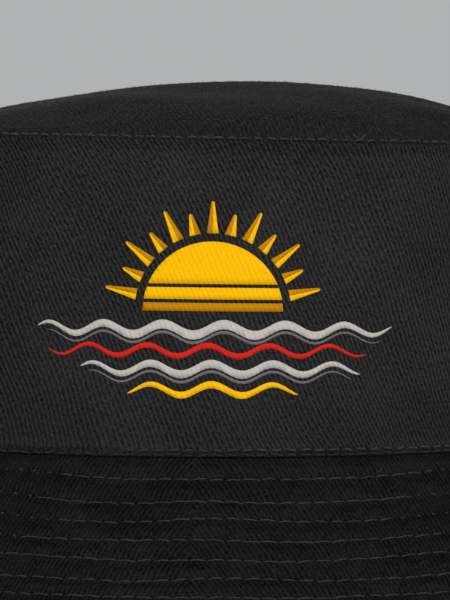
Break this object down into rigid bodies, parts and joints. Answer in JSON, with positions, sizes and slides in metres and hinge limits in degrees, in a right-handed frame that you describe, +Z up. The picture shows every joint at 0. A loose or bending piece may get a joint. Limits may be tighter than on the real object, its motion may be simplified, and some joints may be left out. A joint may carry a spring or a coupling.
{
  "type": "bucket hat",
  "caption": "Black cotton twill bucket hat with a low domed crown, a stitched sloping brim and sewn eyelets.",
  "frame": {"origin": "on the floor under the middle of the hat, which stands on its brim's edge", "axes": "+Z up, -Y towards the front of the hat, +X towards the wearer's left"},
  "size_m": [0.2742, 0.2634, 0.1512],
  "materials": {
    "black_twill": "matt cotton twill weave, dull, with fine diagonal ribs",
    "black_thread": "spun sewing thread with a soft sheen",
    "black_tape": "plain woven cotton tape",
    "tag_satin": "soft woven satin, blank",
    "print_amber": "matt screen print on the twill",
    "print_grey": "matt screen print on the twill",
    "print_red": "matt screen print on the twill"
  },
  "bodies": {
    "root": {"crown_tip": "black_twill", "side_panel_front": "black_twill", "side_panel_back": "black_twill", "brim_top_front": "black_twill", "brim_top_back": "black_twill", "brim_under_front": "black_twill", "brim_under_back": "black_twill", "sweatband": "black_tape", "top_seam_tape": "black_tape", "side_seam_tape_left": "black_tape", "side_seam_tape_right": "black_tape", "size_tag": "tag_satin", "eyelet_left_back": "black_thread", "eyelet_left_front": "black_thread", "eyelet_right_back": "black_thread", "eyelet_right_front": "black_thread"}
  },
  "joints": []
}
